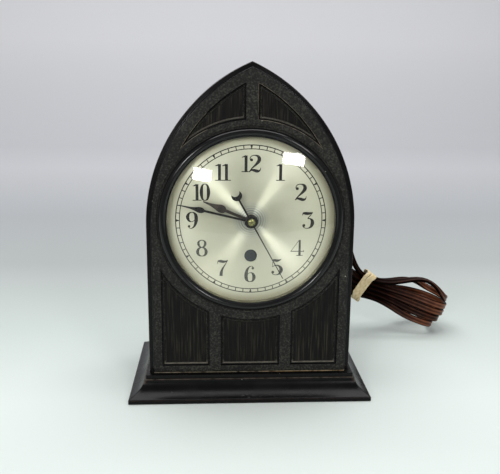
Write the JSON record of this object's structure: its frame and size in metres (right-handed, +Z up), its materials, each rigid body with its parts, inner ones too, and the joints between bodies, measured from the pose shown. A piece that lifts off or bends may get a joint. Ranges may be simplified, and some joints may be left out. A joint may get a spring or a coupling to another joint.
{
  "type": "mantel clock",
  "caption": "Electric mantel clock in a dark pointed-arch case on a moulded plinth, round silvered dial, convex glass, centre seconds, mains lead tied in a hank.",
  "frame": {"origin": "middle of the plinth's underside, on the table", "axes": "+Z up, the dial faces -Y, +X to the right as seen from the front"},
  "size_m": [0.2218, 0.1353, 0.1905],
  "materials": {
    "bakelite": "dark brown phenolic moulding, satin, fine stipple on the rails and grain in the panels",
    "gloss_bakelite": "near-black phenolic moulding, polished",
    "glass": "clear convex glass",
    "silvered": "silvered dial, spun sheen, printed black",
    "black_steel": "blackened",
    "brass": "plain brass",
    "steel": "turned steel",
    "slate": "grey paint",
    "lamination": "stacked sheet iron",
    "fibre": "fibre sheet",
    "winding": "taped coil",
    "cover": "black lacquer",
    "cord": "brown rubber flat twin",
    "pale_rubber": "pale rubber"
  },
  "bodies": {
    "case": {"plinth": "gloss_bakelite", "case_body": "bakelite", "rear_cover": "cover", "bezel_ring": "gloss_bakelite", "glass_dome": "glass", "glass_retainer": "brass", "dial": "silvered", "dial_post_1": "brass", "dial_post_2": "brass", "dial_post_3": "brass", "dial_post_4": "brass", "front_plate": "brass", "back_plate": "brass", "plate_pillar_1": "steel", "plate_pillar_2": "steel", "plate_pillar_3": "steel", "plate_pillar_4": "steel", "minute_stud": "steel", "field_core": "lamination", "coil_bobbin": "fibre", "coil_winding": "winding", "strain_relief": "cord", "cord_lead": "cord", "cord_hank": "cord", "hank_band": "pale_rubber", "cord_tail": "cord", "plug_body": "cord", "plug_blade_1": "brass", "plug_blade_2": "brass"},
    "rotor_group": {"rotor": "lamination", "rotor_arbor": "steel", "start_indicator": "slate", "starter_knob": "gloss_bakelite"},
    "first_group": {"first_wheel": "fibre", "first_arbor": "steel"},
    "second_group": {"second_wheel": "brass", "second_arbor": "steel"},
    "seconds_group": {"seconds_wheel": "brass", "seconds_arbor": "steel", "seconds_hand": "black_steel", "seconds_boss": "brass"},
    "third_group": {"third_wheel": "brass", "third_arbor": "steel"},
    "centre_group": {"centre_wheel": "brass", "centre_tube": "brass"},
    "minute_group": {"cannon_pinion": "brass", "minute_hand": "black_steel", "minute_hand_nut": "black_steel"},
    "minute_wheel_group": {"minute_wheel": "brass", "minute_pinion": "brass"},
    "hour_group": {"hour_wheel": "brass", "hour_hand": "black_steel"},
    "set_group": {"set_arbor": "steel", "set_knob": "gloss_bakelite"}
  },
  "joints": [
    {"name": "rotor_spin", "type": "hinge", "parent": "case", "child": "rotor_group", "pos_m": [0, 0, 0.0836], "axis": [0, -1, 0], "continuous": true},
    {"name": "first_wheel_spin", "type": "hinge", "parent": "case", "child": "first_group", "pos_m": [-0.01224, 0, 0.0836], "axis": [0, 1, 0], "continuous": true},
    {"name": "second_wheel_spin", "type": "hinge", "parent": "case", "child": "second_group", "pos_m": [-0.01079, 0, 0.0964], "axis": [0, 1, 0], "continuous": true},
    {"name": "seconds_hand_spin", "type": "hinge", "parent": "case", "child": "seconds_group", "pos_m": [0, 0, 0.104], "axis": [0, 1, 0], "continuous": true},
    {"name": "third_wheel_spin", "type": "hinge", "parent": "case", "child": "third_group", "pos_m": [-0.00225, 0, 0.11676], "axis": [0, 1, 0], "continuous": true},
    {"name": "centre_wheel_spin", "type": "hinge", "parent": "case", "child": "centre_group", "pos_m": [0, 0, 0.104], "axis": [0, 1, 0], "continuous": true},
    {"name": "set_knob_turn", "type": "hinge", "parent": "case", "child": "set_group", "pos_m": [0.01976, 0, 0.10838], "axis": [0, 1, 0], "continuous": true},
    {"name": "minute_hand_turn", "type": "hinge", "parent": "case", "child": "minute_group", "pos_m": [0, 0, 0.104], "axis": [0, 1, 0], "continuous": true},
    {"name": "minute_wheel_turn", "type": "hinge", "parent": "case", "child": "minute_wheel_group", "pos_m": [0.01128, 0, 0.0999], "axis": [0, 1, 0], "continuous": true},
    {"name": "hour_hand_turn", "type": "hinge", "parent": "case", "child": "hour_group", "pos_m": [0, 0, 0.104], "axis": [0, 1, 0], "continuous": true}
  ],
  "couplings": [
    {"joint": "first_wheel_spin", "follows": "rotor_spin", "ratio": 0.13333},
    {"joint": "second_wheel_spin", "follows": "rotor_spin", "ratio": -0.022222},
    {"joint": "seconds_hand_spin", "follows": "rotor_spin", "ratio": 0.0044444},
    {"joint": "third_wheel_spin", "follows": "rotor_spin", "ratio": -0.00055556},
    {"joint": "centre_wheel_spin", "follows": "rotor_spin", "ratio": 0.000074074},
    {"joint": "minute_wheel_turn", "follows": "set_knob_turn", "ratio": -0.33333},
    {"joint": "minute_hand_turn", "follows": "set_knob_turn", "ratio": 1},
    {"joint": "hour_hand_turn", "follows": "set_knob_turn", "ratio": 0.083333}
  ]
}
